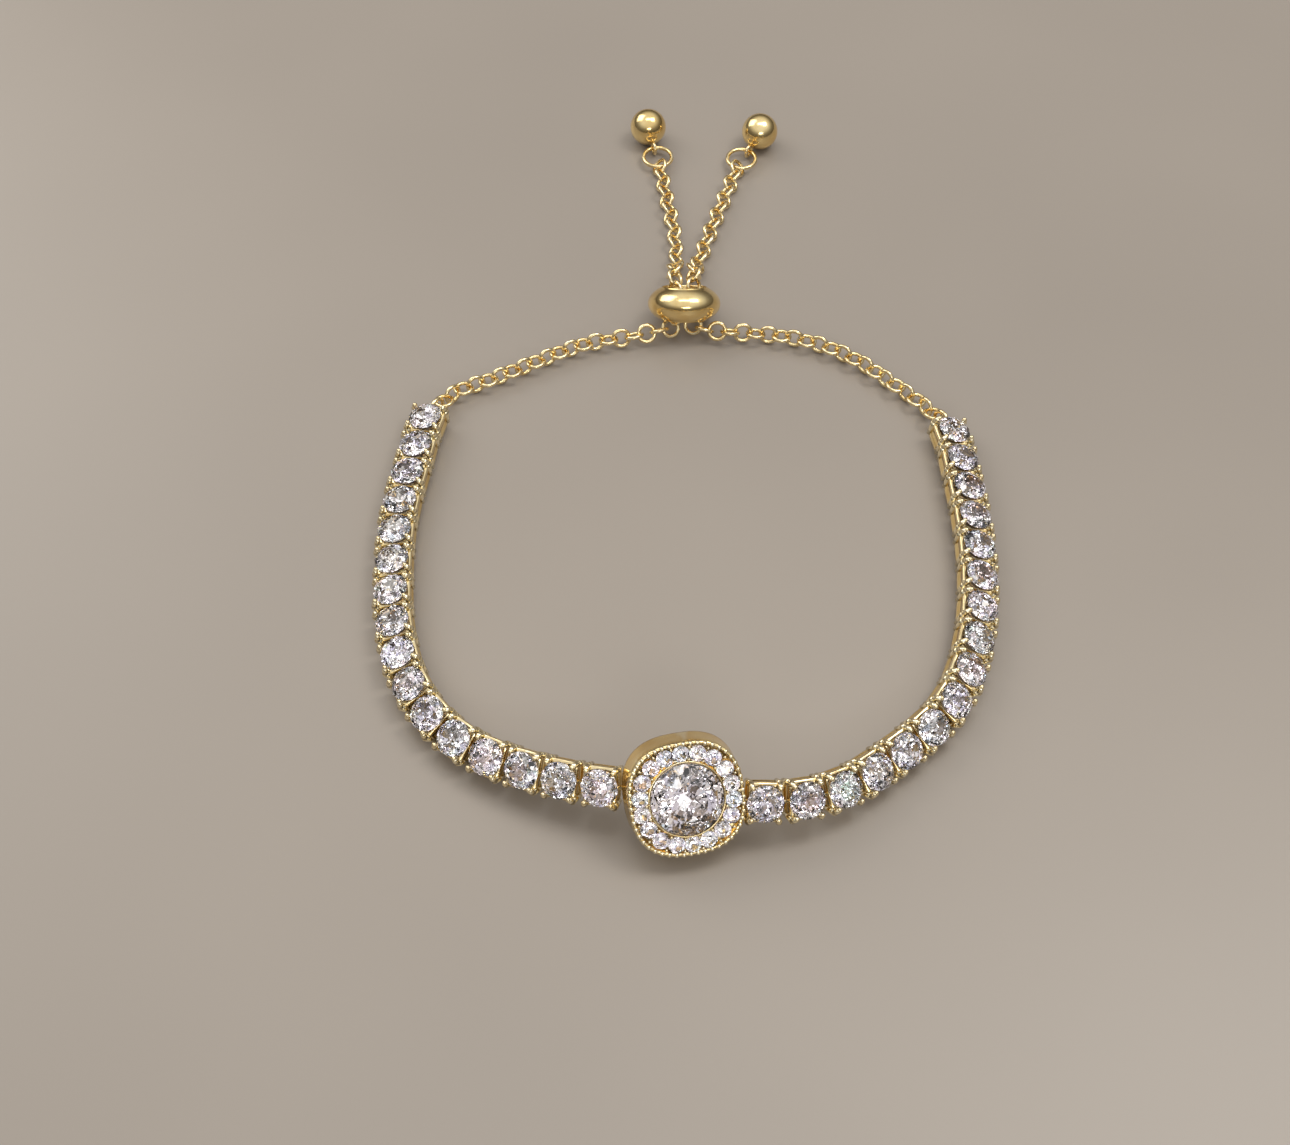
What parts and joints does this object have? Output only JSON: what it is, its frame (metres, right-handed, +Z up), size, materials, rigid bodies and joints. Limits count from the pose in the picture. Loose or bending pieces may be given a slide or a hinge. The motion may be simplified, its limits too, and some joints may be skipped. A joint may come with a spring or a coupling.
{
  "type": "slider tennis bracelet",
  "caption": "Slider tennis bracelet: a hinged row of square stone baskets with a cushion halo, two link chains through one slider bead, and a ball on each free end",
  "frame": {"origin": "on the surface, under the middle of the bracelet's bounding box", "axes": "+Z up from the surface, the halo at the low end of Y and the two free ends at the high end"},
  "size_m": [0.0586, 0.0934, 0.0092],
  "materials": {
    "gold": "polished pale yellow gold plate",
    "stone": "clear faceted stone"
  },
  "bodies": {
    "root": {"link_left_01": "gold", "link_left_02": "gold", "link_left_03": "gold", "link_left_04": "gold", "link_left_05": "gold", "link_left_06": "gold", "link_left_07": "gold", "link_left_08": "gold", "link_left_09": "gold", "link_left_10": "gold", "link_left_11": "gold", "link_left_12": "gold", "link_left_13": "gold", "link_left_14": "gold", "link_left_15": "gold", "link_left_16": "gold", "link_right_01": "gold", "link_right_02": "gold", "link_right_03": "gold", "link_right_04": "gold", "link_right_05": "gold", "link_right_06": "gold", "link_right_07": "gold", "link_right_08": "gold", "link_right_09": "gold", "link_right_10": "gold", "link_right_11": "gold", "link_right_12": "gold", "link_right_13": "gold", "link_right_14": "gold", "link_right_15": "gold", "link_right_16": "gold", "halo_setting": "gold", "slider_bead": "gold", "chain_left": "gold", "chain_right": "gold", "jump_ring_left": "gold", "jump_ring_right": "gold", "end_ball_left": "gold", "end_ball_right": "gold", "centre_stone": "stone"}
  },
  "joints": []
}
